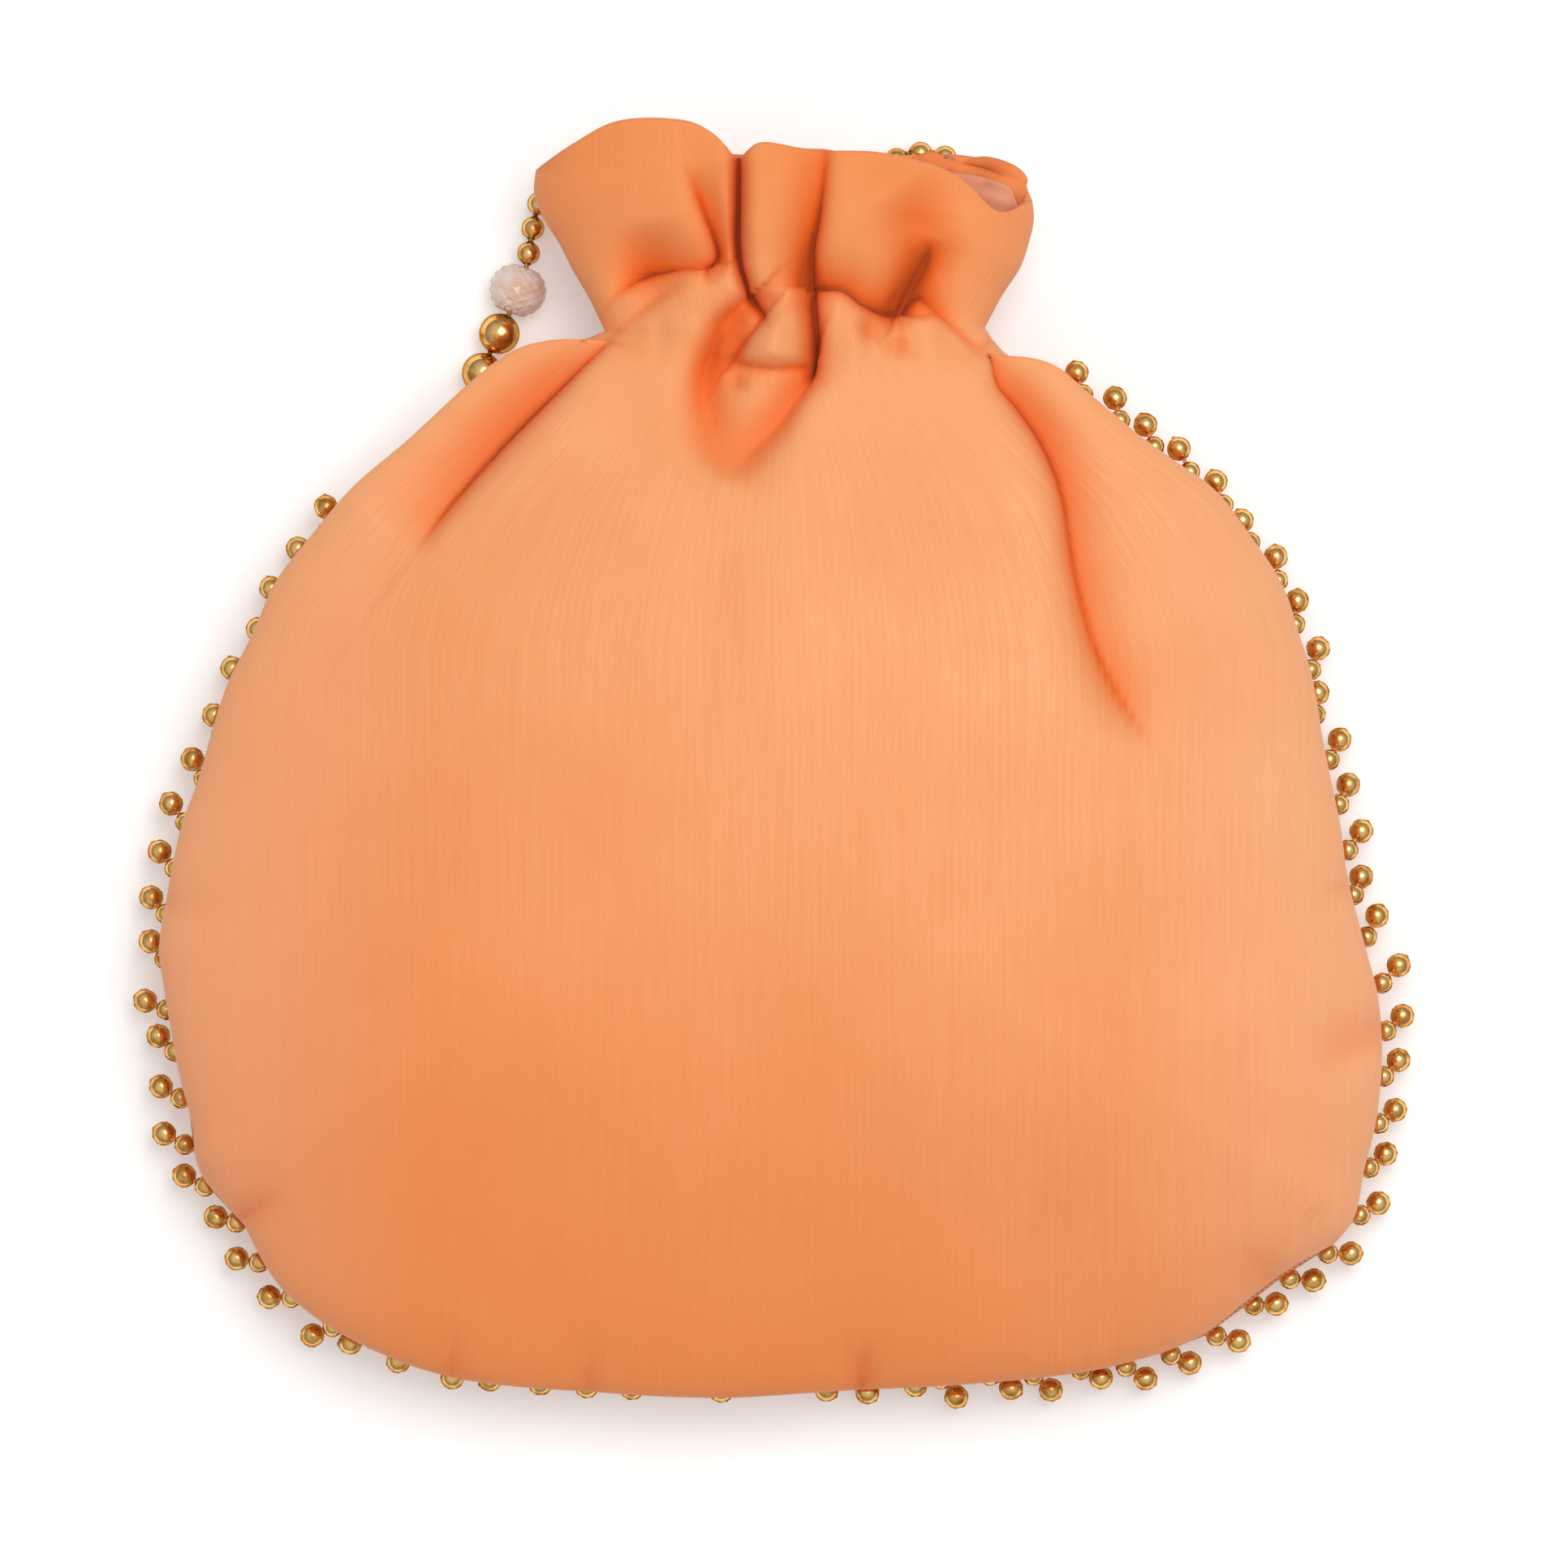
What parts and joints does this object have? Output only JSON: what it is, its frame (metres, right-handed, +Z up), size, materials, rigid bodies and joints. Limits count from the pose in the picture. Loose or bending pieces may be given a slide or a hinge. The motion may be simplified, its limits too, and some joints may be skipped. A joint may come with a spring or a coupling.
{
  "type": "potli bag",
  "caption": "Round gathered cloth pouch with a drawstring neck and frill, lined inside, with a gold bead edging along its seam and a bead strand handle.",
  "frame": {"origin": "centre of the underside that the bag lies on: middle of its outline in X and Y, on the table in Z", "axes": "+X across the bag, +Y from the belly to the mouth, +Z up, out of the front that faces the viewer"},
  "size_m": [0.2396, 0.2376, 0.0521],
  "materials": {
    "silk": "woven slub silk, soft sheen",
    "satin_lining": "thin satin lining",
    "cotton_cord": "twisted cotton cord and thread",
    "gold_bead": "polished gold-coloured bead",
    "cut_acrylic": "clear cut acrylic bead"
  },
  "bodies": {
    "root": {"back_lining": "satin_lining", "back_panel": "silk", "bead_edging": "gold_bead", "crystal_bead_01": "cut_acrylic", "crystal_bead_02": "cut_acrylic", "crystal_bead_03": "cut_acrylic", "drawstring": "cotton_cord", "front_lining": "satin_lining", "front_panel": "silk", "handle_thread": "cotton_cord", "large_bead_01": "gold_bead", "large_bead_02": "gold_bead", "large_bead_03": "gold_bead", "large_bead_04": "gold_bead", "large_bead_05": "gold_bead", "large_bead_06": "gold_bead", "large_bead_07": "gold_bead", "large_bead_08": "gold_bead", "small_bead_01": "gold_bead", "small_bead_02": "gold_bead", "small_bead_03": "gold_bead", "small_bead_04": "gold_bead", "small_bead_05": "gold_bead", "small_bead_06": "gold_bead", "small_bead_07": "gold_bead", "small_bead_08": "gold_bead", "small_bead_09": "gold_bead", "small_bead_10": "gold_bead", "small_bead_11": "gold_bead", "small_bead_12": "gold_bead", "small_bead_13": "gold_bead", "small_bead_14": "gold_bead", "small_bead_15": "gold_bead", "small_bead_16": "gold_bead"}
  },
  "joints": []
}
